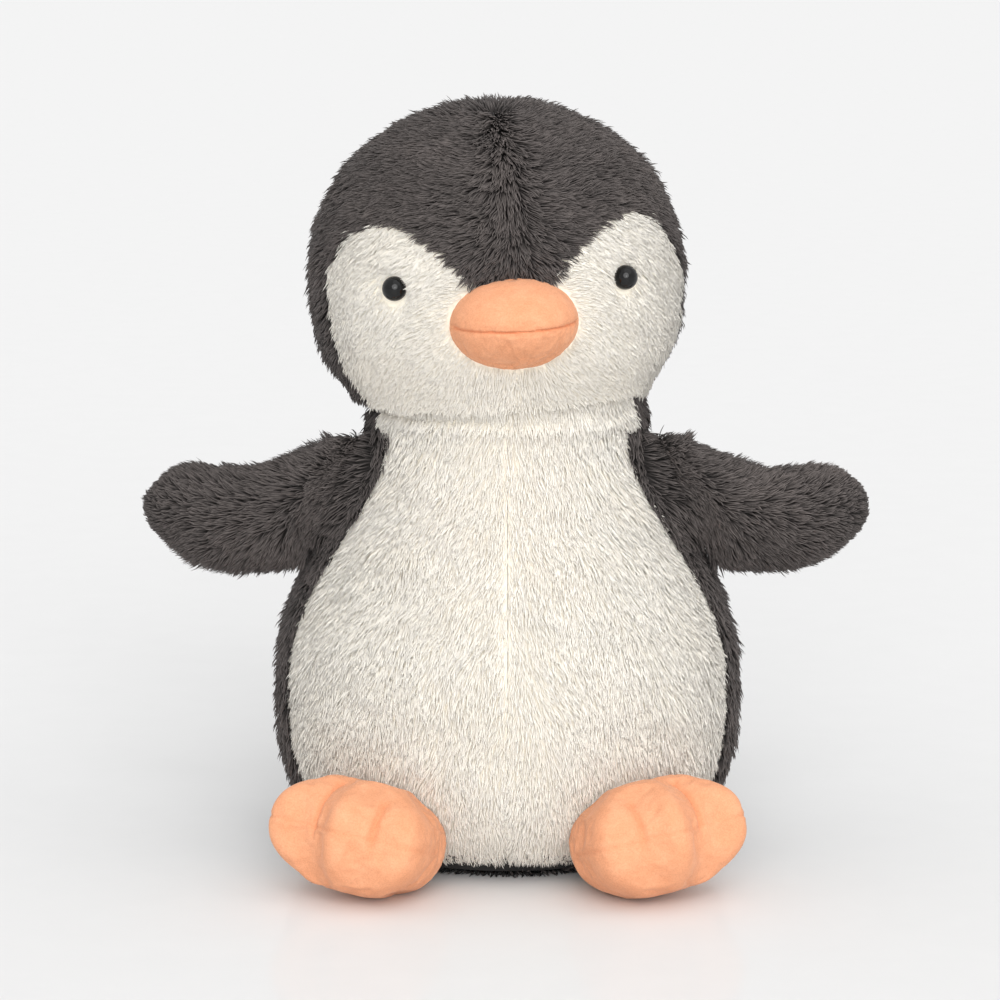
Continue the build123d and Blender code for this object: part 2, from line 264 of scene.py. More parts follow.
def mesh_piece(name, co, tri, shade, nap, material):
    """A piece from millimetre arrays, its shades kept as UVs: across is the lock, up is root to tip."""
    mesh = bpy.data.meshes.new(name)
    mesh.vertices.add(len(co))
    mesh.vertices.foreach_set("co", (co * MM).astype(np.float32).ravel())
    mesh.loops.add(3 * len(tri))
    mesh.loops.foreach_set("vertex_index", tri.astype(np.int32).ravel())
    mesh.polygons.add(len(tri))
    mesh.polygons.foreach_set("loop_start", np.arange(0, 3 * len(tri), 3, dtype=np.int32))
    mesh.polygons.foreach_set("use_smooth", np.ones(len(tri), bool))
    layer = mesh.uv_layers.new(name="OFBake")
    uv = 0.02 + 0.96 * shade[tri.ravel()]
    layer.data.foreach_set("uv", uv.astype(np.float32).ravel())
    lie = mesh.attributes.new("nap", "FLOAT_VECTOR", "POINT")
    lie.data.foreach_set("vector", nap.astype(np.float32).ravel())
    mesh.update(calc_edges=True)
    mesh.validate()
    obj = bpy.data.objects.new(name, mesh)
    obj.data.materials.append(material)
    bpy.context.scene.collection.objects.link(obj)
    return obj


def plush(name, co, tri, outer, count, flow, style, material, seed):
    """Plush: its backing cloth, and pile grown from the outer faces. Returns one or more pieces,
    the first with the backing, each holding the locks of one level."""
    rng = np.random.default_rng(seed)
    points, normals = scatter(co, tri[outer], count, rng)
    keep = style["keep"](points)
    points, normals = points[keep], normals[keep]
    order = np.argsort(points[:, 2])
    points, normals = points[order], normals[order]
    direction = flow(points)
    direction = direction - normals * (direction * normals).sum(axis=1, keepdims=True)
    lock_co, lock_shade = locks(points, normals, unit(direction), style, rng)
    used = np.unique(tri)
    remap = np.full(len(co), -1)
    remap[used] = np.arange(len(used))
    backing = co[used].copy()
    backing[:, 2] = np.maximum(backing[:, 2], style.get("under", 0.0))
    # the backing cloth takes the root colour, the painted shade between the locks
    cloth_shade = np.stack([rng.random(len(used)), np.zeros(len(used))], axis=1)
    cloth_nap = corner_normals(co, tri)[0][used]
    parts = math.ceil((len(points) + len(tri) / 16) / MOST_LOCKS)
    pieces = []
    for k, share in enumerate(np.array_split(np.arange(len(points)), parts)):
        c = lock_co[share].reshape(-1, 3)
        t = lock_faces(len(share))
        shade = lock_shade[share].reshape(-1, 2)
        nap = np.repeat(normals[share], LOCK_CORNERS, axis=0)
        if k == 0:
            c, t = np.concatenate([backing, c]), np.concatenate([remap[tri], t + len(used)])
            shade, nap = np.concatenate([cloth_shade, shade]), np.concatenate([cloth_nap, nap])
        title = name if parts == 1 else f"{name}_{k + 1}"
        pieces.append(mesh_piece(title, c, t, shade, nap, material))
    return pieces


# ---- Materials ----
def link(tree, a, b):
    tree.links.new(a, b)


def new_material(name):
    material = bpy.data.materials.new(name)
    material.use_nodes = True
    tree = material.node_tree
    return material, tree, tree.nodes["Principled BSDF"]


def colour_ramp(tree, stops):
    node = tree.nodes.new("ShaderNodeValToRGB")
    while len(node.color_ramp.elements) < len(stops):
        node.color_ramp.elements.new(0.5)
    for element, (at, colour) in zip(node.color_ramp.elements, stops):
        element.position = at
        element.color = (*colour, 1)
    return node


def multiply(tree, a, b):
    node = tree.nodes.new("ShaderNodeMix")
    node.data_type = "RGBA"
    node.blend_type = "MULTIPLY"
    node.inputs["Factor"].default_value = 1
    link(tree, a, node.inputs["A"])
    link(tree, b, node.inputs["B"])
    return node.outputs["Result"]


def soften(tree, skin, share):
    """Turns the shading part of the way from each lock to the cloth under it, as light scattered
    between fine fibres does."""
    nap = tree.nodes.new("ShaderNodeAttribute")
    nap.attribute_name = "nap"
    turn = tree.nodes.new("ShaderNodeVectorTransform")
    turn.vector_type, turn.convert_from, turn.convert_to = "NORMAL", "OBJECT", "WORLD"
    own = tree.nodes.new("ShaderNodeNewGeometry")
    both = tree.nodes.new("ShaderNodeMix")
    both.data_type = "VECTOR"
    both.inputs["Factor"].default_value = share
    link(tree, nap.outputs["Vector"], turn.inputs[0])
    link(tree, own.outputs["Normal"], both.inputs[4])
    link(tree, turn.outputs[0], both.inputs[5])
    even = tree.nodes.new("ShaderNodeVectorMath")
    even.operation = "NORMALIZE"
    link(tree, both.outputs[1], even.inputs[0])
    link(tree, even.outputs[0], skin.inputs["Normal"])


def pile_material(name, along, across, sheen, soft):
    """Pile: coloured from root to tip, darker towards the root as painted shade between the locks, and
    each lock a little darker or lighter than the next.
    """
    material, tree, skin = new_material(name)
    where = tree.nodes.new("ShaderNodeUVMap")
    where.uv_map = "OFBake"
    split = tree.nodes.new("ShaderNodeSeparateXYZ")
    link(tree, where.outputs["UV"], split.inputs[0])
    length = colour_ramp(tree, along)
    own = colour_ramp(tree, across)
    link(tree, split.outputs["Y"], length.inputs[0])
    link(tree, split.outputs["X"], own.inputs[0])
    link(tree, multiply(tree, length.outputs[0], own.outputs[0]), skin.inputs["Base Color"])
    skin.inputs["Roughness"].default_value = 0.75
    skin.inputs["Specular IOR Level"].default_value = 0.25
    skin.inputs["Sheen Weight"].default_value = sheen
    skin.inputs["Sheen Roughness"].default_value = 0.4
    soften(tree, skin, soft)
    return material


# grey pile: its own grey at the tips, darkened towards the root as painted shade between the locks
GREY = pile_material(
    "grey_pile",
    [
        (0.0, (0.016, 0.014, 0.013)),
        (0.35, (0.046, 0.040, 0.038)),
        (0.7, (0.108, 0.094, 0.089)),
        (1.0, (0.205, 0.180, 0.171)),
    ],
    [(0.0, (0.78, 0.78, 0.78)), (0.5, (0.95, 0.94, 0.94)), (1.0, (1.15, 1.13, 1.12))],
    0.12,
    0.48,
)
# cream pile: its own cream at the tips, darker and warmer towards the root as painted shade between the
# locks
CREAM = pile_material(
    "cream_pile",
    [
        (0.0, (0.96, 0.89, 0.75)),
        (0.3, (0.965, 0.91, 0.80)),
        (0.6, (0.97, 0.93, 0.85)),
        (1.0, (0.98, 0.95, 0.89)),
    ],
    [(0.0, (0.98, 0.965, 0.94)), (0.5, (0.995, 0.99, 0.98)), (1.0, (1.0, 1.0, 1.0))],
    0.1,
    0.93,
)
# painted light: the cream pile shines faintly and evenly in its own colour, standing in for light
# scattered through the pale fibres into the shade between the locks
painted_glow = next(n for n in CREAM.node_tree.nodes if n.type == "BSDF_PRINCIPLED")
painted_glow.inputs["Emission Color"].default_value = (1.0, 0.93, 0.82, 1)
painted_glow.inputs["Emission Strength"].default_value = 0.09


def noise(tree, scale, detail=4.0, rough=0.6):
    node = tree.nodes.new("ShaderNodeTexNoise")
    node.inputs["Scale"].default_value = scale
    node.inputs["Detail"].default_value = detail
    node.inputs["Roughness"].default_value = rough
    place = tree.nodes.new("ShaderNodeTexCoord")
    link(tree, place.outputs["Object"], node.inputs["Vector"])
    return node


def bump(tree, skin, heights):
    """Bumps of several noises: (socket, strength, distance in metres)."""
    previous = None
    for socket, strength, distance in heights:
        node = tree.nodes.new("ShaderNodeBump")
        node.inputs["Strength"].default_value = strength
        node.inputs["Distance"].default_value = distance
        link(tree, socket, node.inputs["Height"])
        if previous:
            link(tree, previous, node.inputs["Normal"])
        previous = node.outputs["Normal"]
    link(tree, previous, skin.inputs["Normal"])


def suede_material():
    """Short brushed pile: mottled where it was stroked, with a fine nap, and darkened in the seam and
    tack creases as painted shade.
    """
    material, tree, skin = new_material("peach_suede")
    broad = noise(tree, 130, 5, 0.62)
    fine = noise(tree, 1500, 3, 0.7)
    tone = colour_ramp(
        tree, [(0.3, (0.76, 0.345, 0.185)), (0.52, (0.80, 0.375, 0.208)), (0.72, (0.835, 0.41, 0.235))]
    )
    speck = colour_ramp(tree, [(0.34, (0.86, 0.83, 0.8)), (0.6, (1.0, 1.0, 1.0))])
    link(tree, broad.outputs[0], tone.inputs[0])
    link(tree, fine.outputs[0], speck.inputs[0])
    # painted shade: the colour is darkened where the crease attribute marks the seams and the tacks
    crease = tree.nodes.new("ShaderNodeAttribute")
    crease.attribute_name = "crease"
    deep = colour_ramp(tree, [(0.0, (1.0, 1.0, 1.0)), (1.0, (0.92, 0.62, 0.48))])
    link(tree, crease.outputs["Fac"], deep.inputs[0])
    colour = multiply(tree, multiply(tree, tone.outputs[0], speck.outputs[0]), deep.outputs[0])
    link(tree, colour, skin.inputs["Base Color"])
    skin.inputs["Roughness"].default_value = 0.9
    skin.inputs["Specular IOR Level"].default_value = 0.15
    skin.inputs["Sheen Weight"].default_value = 0.22
    skin.inputs["Sheen Roughness"].default_value = 0.35
    skin.inputs["Sheen Tint"].default_value = (1.0, 0.82, 0.68, 1)
    bump(tree, skin, [(broad.outputs[0], 0.35, 0.0006), (fine.outputs[0], 0.5, 0.00025)])
    return material


def simple_material(name, low, high, scale, rough, depth=0.0002, specular=0.3):
    """A plain stuff with a little mottling and relief."""
    material, tree, skin = new_material(name)
    grain = noise(tree, scale)
    tone = colour_ramp(tree, [(0.35, low), (0.65, high)])
    link(tree, grain.outputs[0], tone.inputs[0])
    link(tree, tone.outputs[0], skin.inputs["Base Color"])
    skin.inputs["Roughness"].default_value = rough
    skin.inputs["Specular IOR Level"].default_value = specular
    bump(tree, skin, [(grain.outputs[0], 0.5, depth)])
    return material


SUEDE = suede_material()
EYE = simple_material("eye_plastic", (0.003, 0.003, 0.003), (0.006, 0.006, 0.006), 300, 0.09, 1e-5, 0.35)
WASHER = simple_material("washer_plastic", (0.72, 0.72, 0.7), (0.8, 0.8, 0.78), 900, 0.45)
FIBRE = simple_material("polyester_fibre", (0.8, 0.8, 0.78), (0.93, 0.93, 0.92), 400, 0.9, 0.0015)
COTTON = simple_material("pouch_cotton", (0.72, 0.68, 0.58), (0.84, 0.8, 0.7), 1600, 0.85, 0.0003)
PELLET = simple_material("pellets", (0.7, 0.7, 0.67), (0.85, 0.85, 0.82), 350, 0.5, 0.001)
DARK_THREAD = simple_material("grey_thread", (0.02, 0.018, 0.018), (0.05, 0.045, 0.045), 2500, 0.7)
PALE_THREAD = simple_material("cream_thread", (0.7, 0.64, 0.5), (0.85, 0.8, 0.68), 2500, 0.7)


def paint(node, material):
    nodes[node].data.materials.clear()
    nodes[node].data.materials.append(material)


for name in nodes:
    if name.endswith("_filling"):
        paint(name, FIBRE)
    elif name.endswith("_washer"):
        paint(name, WASHER)
paint("pellet_pouch", COTTON)
paint("weighting_pellets", PELLET)
paint("neck_seam_thread", PALE_THREAD)
paint("left_wing_root_thread", DARK_THREAD)
paint("right_wing_root_thread", DARK_THREAD)


# ---- Which way the pile lies ----
def body_flow(p):
    x, y = p[:, 0], p[:, 1]
    out = unit(np.stack([x, y, np.zeros(len(p))], axis=1))
    down = np.tile([0.0, 0.0, -1.0], (len(p), 1))
    spread = 0.1 + 0.13 * ripple(p, 45, 31)
    return down + spread[:, None] * np.stack([-out[:, 1], out[:, 0], 0 * x], axis=1) * np.sign(
        -y * x
    )[:, None]


def past_seam(p):
    """How far points are behind the torso's side seam."""
    height = [-2, 10, 28, 52, 100, 150, 200]
    return p[:, 1] - np.interp(p[:, 2], height, [-48, -42, -34, -28, -26, -26, -24])


def back_flow(p):
    over = np.exp(-((past_seam(p) / 9) ** 2)) * ramp(p[:, 2], 4, 30)
    return body_flow(p) + over[:, None] * np.array([0, -1.5, 0])


def base_flow(p):
    out = unit(np.stack([p[:, 0], p[:, 1], np.zeros(len(p))], axis=1))
    return out + np.array([0, 0, -0.8])


def face_flow(p):
    h = to_head(p)
    x, z = h[:, 0], h[:, 2]
    away = x / 30
    lift = ramp(z, 247, 277) * 0.35
    flow = np.stack([away.clip(-1, 1) * 0.75, 0 * x, -0.9 + lift], axis=1)
    near = np.exp(-((x / 30) ** 2 + ((z - BEAK_Z) / 22) ** 2 - 1).clip(0) * 2.2)
    radial = np.stack([x / 30, 0 * x, (z - BEAK_Z) / 22], axis=1)
    return from_head(flow + 1.6 * near[:, None] * radial)


def hood_flow(p):
    h = to_head(p)
    x, y, z = h[:, 0], h[:, 1], h[:, 2]
    part = np.tanh(x / 16)
    fan = (z - 272) / 45 * np.minimum(1, np.abs(x) / 14)  # the pile fans out on both sides
    down = 0.2 + 0.6 * np.exp(-((x / 9) ** 2))
    flow = np.stack([part * 0.9, 0 * x, np.where(x > 0, 0.75, 0.4) * fan - down], axis=1)
    peak = (np.exp(-((x / 20) ** 2)) * ramp(-z, -270, -256))[:, None]
    return from_head(flow * (1 - 0.6 * peak) + peak * np.array([0, 0, -0.9]))


def crown_flow(p):
    h = to_head(p)
    x, y, z = h[:, 0], h[:, 1], h[:, 2]
    part = np.tanh(x / 9)
    flow = np.stack([part * 0.35, 0.5 + 0 * x, -0.75 + 0 * x], axis=1)
    return from_head(flow)


# the wing's middle line: distances out from the body's middle, and heights
WING_MIDDLE = ([56, 68, 82, 98, 113, 127, 150], [164, 160, 155, 149.5, 147.8, 149.3, 152.8])


def wing_flow(sign):
    def flow(p):
        x, z = np.abs(p[:, 0]), p[:, 2]
        middle = np.interp(x, *WING_MIDDLE)
        away = (z - middle) / 19
        tilt = np.interp(x, [60, 100, 125, 155], [-0.55, -0.35, 0.0, 0.1])
        return np.stack([sign * 0.8 + 0 * x, 0 * x, tilt + 0.85 * away], axis=1)

    return flow


# ---- How long and how high the pile stands ----
def all_of(p):
    return np.ones(len(p), bool)


def none_of(p):
    return np.zeros(len(p))


def seam_short(p):
    return 1 - 0.25 * np.exp(-((p[:, 0] / 2) ** 2))


def seam_raise(p):
    return -0.1 * np.exp(-((p[:, 0] / 2) ** 2))


EYES = []
for word in ("left", "right"):
    low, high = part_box(f"{word}_eye")
    EYES.append(np.array((low + high) / 2) / MM)


def eye_gap(p):
    """Distance to the nearer eye."""
    return np.min([np.linalg.norm(p - e, axis=1) for e in EYES], axis=0)


def beak_gap(p):
    h = to_head(p)
    return np.sqrt((h[:, 0] / 27) ** 2 + ((h[:, 2] - BEAK_Z) / 19.5) ** 2) + (h[:, 1] > 0) * 9


def face_short(p):
    h = to_head(p)
    eye = ramp(eye_gap(p), 6.5, 14)
    beak = ramp(beak_gap(p), 0.95, 1.45)
    rim = 0.75 + 0.25 * ramp(h[:, 2], 203, 216)
    centre = 1 - 0.25 * np.exp(-((h[:, 0] / 2.4) ** 2))
    return (0.45 + 0.55 * eye) * (0.62 + 0.38 * beak) * centre * rim


def face_keep(p):
    return (eye_gap(p) > 6.6) & (beak_gap(p) > 0.97)


def on_ridge(h):
    """1 along the upper part of the hood's centre seam, where the pile stands up in a ridge."""
    return np.exp(-((h[:, 0] / 2.4) ** 2)) * ramp(h[:, 2], 268, 284)


def hood_short(p):
    h = to_head(p)
    return (0.7 + 0.3 * ramp(beak_gap(p), 1.0, 1.5)) * (1 + 0.2 * on_ridge(h)) * rim_short(p)


# painted highlight: the locks along the hood's raised ridge are made lighter, where the standing pile
# catches the light
def painted_ridge_highlight(p):
    return 0.4 * on_ridge(to_head(p))


def rim_short(p):
    """Shorter near the neck, so that the pile doesn't hang over the crease."""
    return 0.5 + 0.5 * ramp(to_head(p)[:, 2], 204, 226)


def belly_short(p):
    side = 1 - 0.5 * ramp(past_seam(p), -9, -2)
    return seam_short(p) * (0.6 + 0.4 * ramp(p[:, 2], 8, 22)) * side


def back_short(p):
    return seam_short(p) * (1 + 0.25 * np.exp(-((past_seam(p) / 6) ** 2)))


def wing_short(p):
    return 1 - (0.45 + 0.15 * (p[:, 0] > 0)) * ramp(np.abs(p[:, 0]), 126, 150)


# "bright" is painted highlight added to each lock's own shade, none unless a style gives it
BASE = {"short": lambda p: np.ones(len(p)), "raise": none_of, "keep": all_of, "bright": none_of}
SOFT = {**BASE, "roll": 0.9, "thick": 0.34, "clump": 0.3}
BELLY = {**SOFT, "length": 7.6, "lift": (38, 6), "width": 0.46, "sway": 0.2,
         "short": belly_short, "raise": seam_raise}
BACK = {**BASE, "length": 7.8, "lift": (44, 10), "width": 0.44, "clump": 0.55,
        "short": back_short, "raise": seam_raise}
FACE = {**SOFT, "length": 6.4, "lift": (36, 6), "width": 0.42, "sway": 0.16,
        "short": face_short, "keep": face_keep}
HOOD = {**BASE, "length": 7.4, "lift": (46, 12), "width": 0.38, "clump": 0.58,
        "short": hood_short, "keep": face_keep, "bright": painted_ridge_highlight}
CROWN = {**BASE, "length": 7.6, "lift": (44, 11), "width": 0.42, "clump": 0.55, "short": rim_short}
WING = {**BASE, "length": 8.0, "lift": (44, 13), "width": 0.40, "clump": 0.58, "short": wing_short}
FLOOR = {**BASE, "length": 6, "lift": (30, 0), "width": 0.55, "under": 1.8, "floor": 0.2}

torso_fill = surface_of("body_filling")
head_fill = surface_of("head_filling")

plan = [
    ("belly", "torso", torso_fill, 24000, body_flow, BELLY, CREAM, "cream_plush"),
    ("back", "torso", torso_fill, 17000, back_flow, BACK, GREY, "grey_plush"),
    ("face", "head", head_fill, 13500, face_flow, FACE, CREAM, "cream_plush"),
    ("hood", "head", head_fill, 8600, hood_flow, HOOD, GREY, "grey_plush"),
    ("back_head", "head", head_fill, 14500, crown_flow, CROWN, GREY, "grey_plush"),
]
seed = 100
for part, body, filling, count, flow, style, material, slot in plan:
    for word in ("left", "right"):
        seed += 1
        node = f"{word}_{part}_panel"
        co, tri = thinned(node, 0.4)
        outer = outside(co, tri, filling, 1.6)
        name = f"{word}_{part}_plush"
        for piece in plush(name, co, tri, outer, count, flow, style, material, seed):
            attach(piece, body)
            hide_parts(node)

co, tri = thinned("base_panel", 0.6)
outer = outside(co, tri, torso_fill, 1.6)
for piece in plush("base_plush", co, tri, outer, 9000, base_flow, FLOOR, GREY, 55):
    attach(piece, "torso")
    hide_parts("base_panel")

for word, sign in (("left", 1), ("right", -1)):
    fill = surface_of(f"{word}_wing_filling")
    for face in ("front", "back"):
        seed += 1
        node = f"{word}_wing_{face}_panel"
        co, tri = thinned(node, 0.3)
        outer = outside(co, tri, fill, 1.5)
        name = f"{word}_wing_{face}_plush"
        for piece in plush(name, co, tri, outer, 6200, wing_flow(sign), WING, GREY, seed):
            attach(piece, f"{word}_wing")
            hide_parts(node)


# ---- Eyes ----
def turned(name, profile, sides, place, material):
    """A solid of revolution from (radius, height) pairs in millimetres, set at a place."""
    mesh = bpy.data.meshes.new(name)
    build = bmesh.new()
    rings = []
    for r, z in profile:
        ring = [
            build.verts.new((r * MM * math.cos(a), r * MM * math.sin(a), z * MM))
            for a in np.linspace(0, 2 * math.pi, sides, endpoint=False)
        ]
        rings.append(ring)
    for low, high in zip(rings, rings[1:]):
        for k in range(sides):
            build.faces.new((low[k], low[(k + 1) % sides], high[(k + 1) % sides], high[k]))
    build.faces.new(list(reversed(rings[0])))
    build.faces.new(rings[-1])
    build.to_mesh(mesh)
    build.free()
    for polygon in mesh.polygons:
        polygon.use_smooth = True
    mesh.transform(place)
    mesh.materials.append(material)
    obj = bpy.data.objects.new(name, mesh)
    bpy.context.scene.collection.objects.link(obj)
    return obj


def eye_profile():
    lift, radius = 2.0, 5.2
    points = [(1.45, -10.6), (1.5, -10.4), (1.5, 0.2), (3.6, 0.36), (4.55, 0.4)]
    start = math.asin((0.5 - lift) / radius)
    for k in range(15):
        a = start + (math.radians(89.2) - start) * k / 14
        points.append((radius * math.cos(a), lift + radius * math.sin(a)))
    return points


for word, sign in (("left", 1), ("right", -1)):
    half = HEAD_WIDE * math.sqrt(1 - ((EYE_Z - HEAD_Z) / HEAD_RISE) ** 2.2)
    deep = half * 0.9
    y = -deep * math.sqrt(1 - (EYE_X / half) ** 2)
    outward = unit(from_head(np.array([[sign * EYE_X / half**2, y / deep**2, 0.0]])))[0]
    spot = np.array([[sign * EYE_X, y, EYE_Z]]) - PIVOT
    spot = from_head(spot)[0] + PIVOT + HEAD_SHIFT
    turn = Vector(outward).to_track_quat("Z", "Y").to_matrix().to_4x4()
    place = Matrix.Translation(Vector(spot * MM)) @ turn
    eye = turned(f"{word}_eye_dome", eye_profile(), 48, place, EYE)
    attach(eye, "head")
    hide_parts(f"{word}_eye")


# ---- Suede beak and feet ----
def cast_shell(name, panels, centre, level):
    """A closed even mesh over the outside of the panels, found by looking in from far away. Where
    the look meets no outer face, as along a seam's gap or over the open back, the mesh is drawn
    across like a skin."""
    trees = [surface_of(p) for p in panels]
    mesh = bpy.data.meshes.new(name)
    build = bmesh.new()
    bmesh.ops.create_icosphere(build, subdivisions=level, radius=1.0)
    centre = Vector(centre)
    reach = np.zeros(len(build.verts))
    for v in build.verts:
        direction = v.co.normalized()
        for tree in trees:
            place, normal, _, far = tree.ray_cast(centre + direction * LOOK_FROM, -direction)
            if place is not None and normal.dot(direction) > LEAST_FACING:
                reach[v.index] = max(reach[v.index], LOOK_FROM - far)
    co = np.array([v.co.normalized()[:] for v in build.verts])
    edges = np.array([[e.verts[0].index, e.verts[1].index] for e in build.edges])
    build.to_mesh(mesh)
    build.free()
    bare = reach < BARE_REACH
    co *= np.where(bare, 8.0, reach)[:, None]
    touching = edges[bare[edges].any(axis=1)]
    a, b = np.concatenate([touching, touching[:, ::-1]]).T
    a, b = a[bare[a]], b[bare[a]]
    share = np.maximum(np.bincount(a, minlength=len(co)), 1)[:, None]
    for _ in range(SKIN_ROUNDS):
        total = np.stack([np.bincount(a, co[b, k], len(co)) for k in range(3)], axis=1)
        co[bare] = (total / share)[bare]
    a, b = np.concatenate([edges, edges[:, ::-1]]).T
    share = np.bincount(a, minlength=len(co))[:, None]
    for _ in range(2):
        total = np.stack([np.bincount(a, co[b, k], len(co)) for k in range(3)], axis=1)
        co = 0.5 * co + 0.5 * total / share
    mesh.vertices.foreach_set("co", (co + np.array(centre)).astype(np.float32).ravel())
    mesh.update()
    return mesh


def points_of(mesh):
    co = np.empty(3 * len(mesh.vertices), np.float32)
    mesh.vertices.foreach_get("co", co)
    return co.reshape(-1, 3).astype(float)


def inflate(mesh, pins, pressure, cap, frames):
    """Lets the cloth fill out and wrinkle, with the pinned corners held; each corner may move at
    most cap millimetres."""
    rest = points_of(mesh)
    scaled = mesh.copy()
    scaled.vertices.foreach_set("co", (rest * MM).astype(np.float32).ravel())
    obj = bpy.data.objects.new("sim", scaled)
    bpy.context.scene.collection.objects.link(obj)
    group = obj.vertex_groups.new(name="pin")
    for i in np.nonzero(pins > 0.5)[0].tolist():
        group.add([i], 1.0, "REPLACE")
    cloth = obj.modifiers.new("cloth", "CLOTH")
    cloth.settings.quality = 6
    cloth.settings.mass = 0.2
    cloth.settings.tension_stiffness = 22
    cloth.settings.compression_stiffness = 22
    cloth.settings.shear_stiffness = 9
    cloth.settings.bending_stiffness = 0.4
    cloth.settings.use_pressure = True
    cloth.settings.uniform_pressure_force = pressure
    cloth.settings.effector_weights.gravity = 0
    cloth.settings.vertex_group_mass = "pin"
    cloth.settings.shrink_min = -0.035
    cloth.point_cache.frame_start = 1
    cloth.point_cache.frame_end = frames
    for f in range(1, frames + 1):
        bpy.context.scene.frame_set(f)
    done = obj.evaluated_get(bpy.context.evaluated_depsgraph_get()).to_mesh()
    moved = points_of(done) / MM - rest
    bpy.context.scene.frame_set(1)
    bpy.data.objects.remove(obj)
    far = np.linalg.norm(moved, axis=1, keepdims=True)
    return rest + moved * np.minimum(1, cap / np.maximum(far, 1e-9))


def finish_pad(name, mesh, co, crease, material):
    mesh.vertices.foreach_set("co", (co * MM).astype(np.float32).ravel())
    # the crease values darken the suede's colour as painted shade
    mark = mesh.attributes.new("crease", "FLOAT", "POINT")
    mark.data.foreach_set("value", crease.astype(np.float32))
    for polygon in mesh.polygons:
        polygon.use_smooth = True
    mesh.update()
    mesh.materials.append(material)
    obj = bpy.data.objects.new(name, mesh)
    bpy.context.scene.collection.objects.link(obj)
    return obj


def outward_of(mesh):
    normals = np.empty(3 * len(mesh.vertices), np.float32)
    mesh.vertices.foreach_get("normal", normals)
    return normals.reshape(-1, 3).astype(float)


def line_gap(points, a, b):
    """Distance from points to the straight piece from a to b."""
    a, b = np.array(a, float), np.array(b, float)
    t = (((points - a) @ (b - a)) / ((b - a) @ (b - a))).clip(0, 1)
    return np.linalg.norm(points - a - t[:, None] * (b - a), axis=1)


def beak():
    mid = from_head(np.array([[0, -72.0, BEAK_Z]]) - PIVOT)[0] + PIVOT + HEAD_SHIFT
    mesh = cast_shell("beak_suede", ["upper_beak_panel", "lower_beak_panel"], mid, 6)
    co, normals = points_of(mesh), outward_of(mesh)
    h = to_head(co)
    front = h[:, 1] < -70
    line = BEAK_Z - 0.9 * np.cos(h[:, 0] / 27 * 1.3)
    seam = np.exp(-(((h[:, 2] - line) / 0.75) ** 2)) * front
    co = co - normals * (seam * 0.75)[:, None]
    mesh.vertices.foreach_set("co", co.astype(np.float32).ravel())
    pins = ((np.abs(h[:, 2] - line) < 0.45) & front) | (h[:, 1] > -66)
    co = inflate(mesh, pins, 5.0, 1.3, 16)
    pucker = np.sin(h[:, 0] * 2.4 + np.sin(h[:, 0] * 0.9)) * np.exp(-((h[:, 2] - line) / 2.6) ** 2)
    co = co + normals * (0.13 * pucker * front)[:, None]
    # painted shade along the beak's seam groove, kept in the crease attribute
    crease = seam * 0.5 + 0.1 * np.exp(-((h[:, 2] - line) / 3) ** 2) * front
    piece = finish_pad("beak_suede", mesh, co, crease.clip(0, 1), SUEDE)
    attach(piece, "head")
    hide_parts("upper_beak_panel", "lower_beak_panel")


HEEL = np.array([43.551, -63.991, 16.326])  # the left foot's heel, in its seam's plane
FOOT_SPLAY, FOOT_ROLL, FOOT_RAISE = 0.47733, math.radians(6), math.radians(18)


def foot_local(co, sign):
    """Distances from a foot's heel: towards the toes, towards its outer side, and up through it."""
    turn = Matrix.Rotation(FOOT_SPLAY - math.pi / 2, 3, "Z")
    turn = turn @ Matrix.Rotation(FOOT_ROLL, 3, "X") @ Matrix.Rotation(-FOOT_RAISE, 3, "Y")
    return ((co * np.array([sign, 1, 1]) - HEEL) @ np.array(turn)).T


def foot(word, sign):
    low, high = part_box(f"{word}_foot_filling")
    middle = np.array((low + high) / 2) / MM
    panels = [f"{word}_foot_top_panel", f"{word}_foot_sole_panel"]
    mesh = cast_shell(f"{word}_foot_suede", panels, middle, 6)
    co, normals = points_of(mesh), outward_of(mesh)
    x, y, z = foot_local(co, sign)
    rim = np.exp(-((z / 0.8) ** 2)) * ramp(x, 16, 24)
    # tack stitches between the toes, over the toe end and on to the top
    flat = np.stack([x, y], axis=1)
    tack = np.zeros(len(co))
    for end, start in (((62, 20), (43, 14)), ((64, -13), (48, -10))):
        near = line_gap(flat, start, end)
        reach = ramp(z, -7, 2) * 0.85 + 0.15
        tack = np.maximum(tack, np.exp(-((near / 1.7) ** 2)) * reach * (z > -9))
    co = co - normals * (rim * 0.4 + tack * 1.15)[:, None]
    mesh.vertices.foreach_set("co", co.astype(np.float32).ravel())
    pins = (np.abs(z) < 0.5) & (x > 18) | (tack > 0.86) | (x < 10)
    co = inflate(mesh, pins, 4.0, 1.8, 16)
    co[:, 2] = np.maximum(co[:, 2], 0.15)
    # painted shade in the rim seam and the tack creases, kept in the crease attribute
    crease = rim * 0.14 + tack * 0.34
    piece = finish_pad(f"{word}_foot_suede", mesh, co, crease.clip(0, 1), SUEDE)
    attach(piece, f"{word}_foot")
    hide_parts(*panels)


beak()
foot("left", 1)
foot("right", -1)


# ---- Soft joins at the neck and the wing roots ----
def ring_grid(levels, steps, centre_of):
    """Rings of points at (height, half width, half depth), joined into an open band."""
    co, tri = [], []
    for z, a, b in levels:
        for k in range(steps):
            t = 2 * math.pi * k / steps
            co.append(centre_of(np.array([a * math.cos(t), b * math.sin(t), z]), z))
    for r in range(len(levels) - 1):
        for k in range(steps):
            p, q = r * steps + k, r * steps + (k + 1) % steps
            tri += [(p, q, q + steps), (p, q + steps, p + steps)]
    return np.array(co), np.array(tri)


def head_blend(p, z):
    share = (z - 196) / 6.5
    placed = from_head((p - PIVOT)[None])[0] + PIVOT + HEAD_SHIFT
    return p if share <= 0 else p * (1 - share) + placed * share


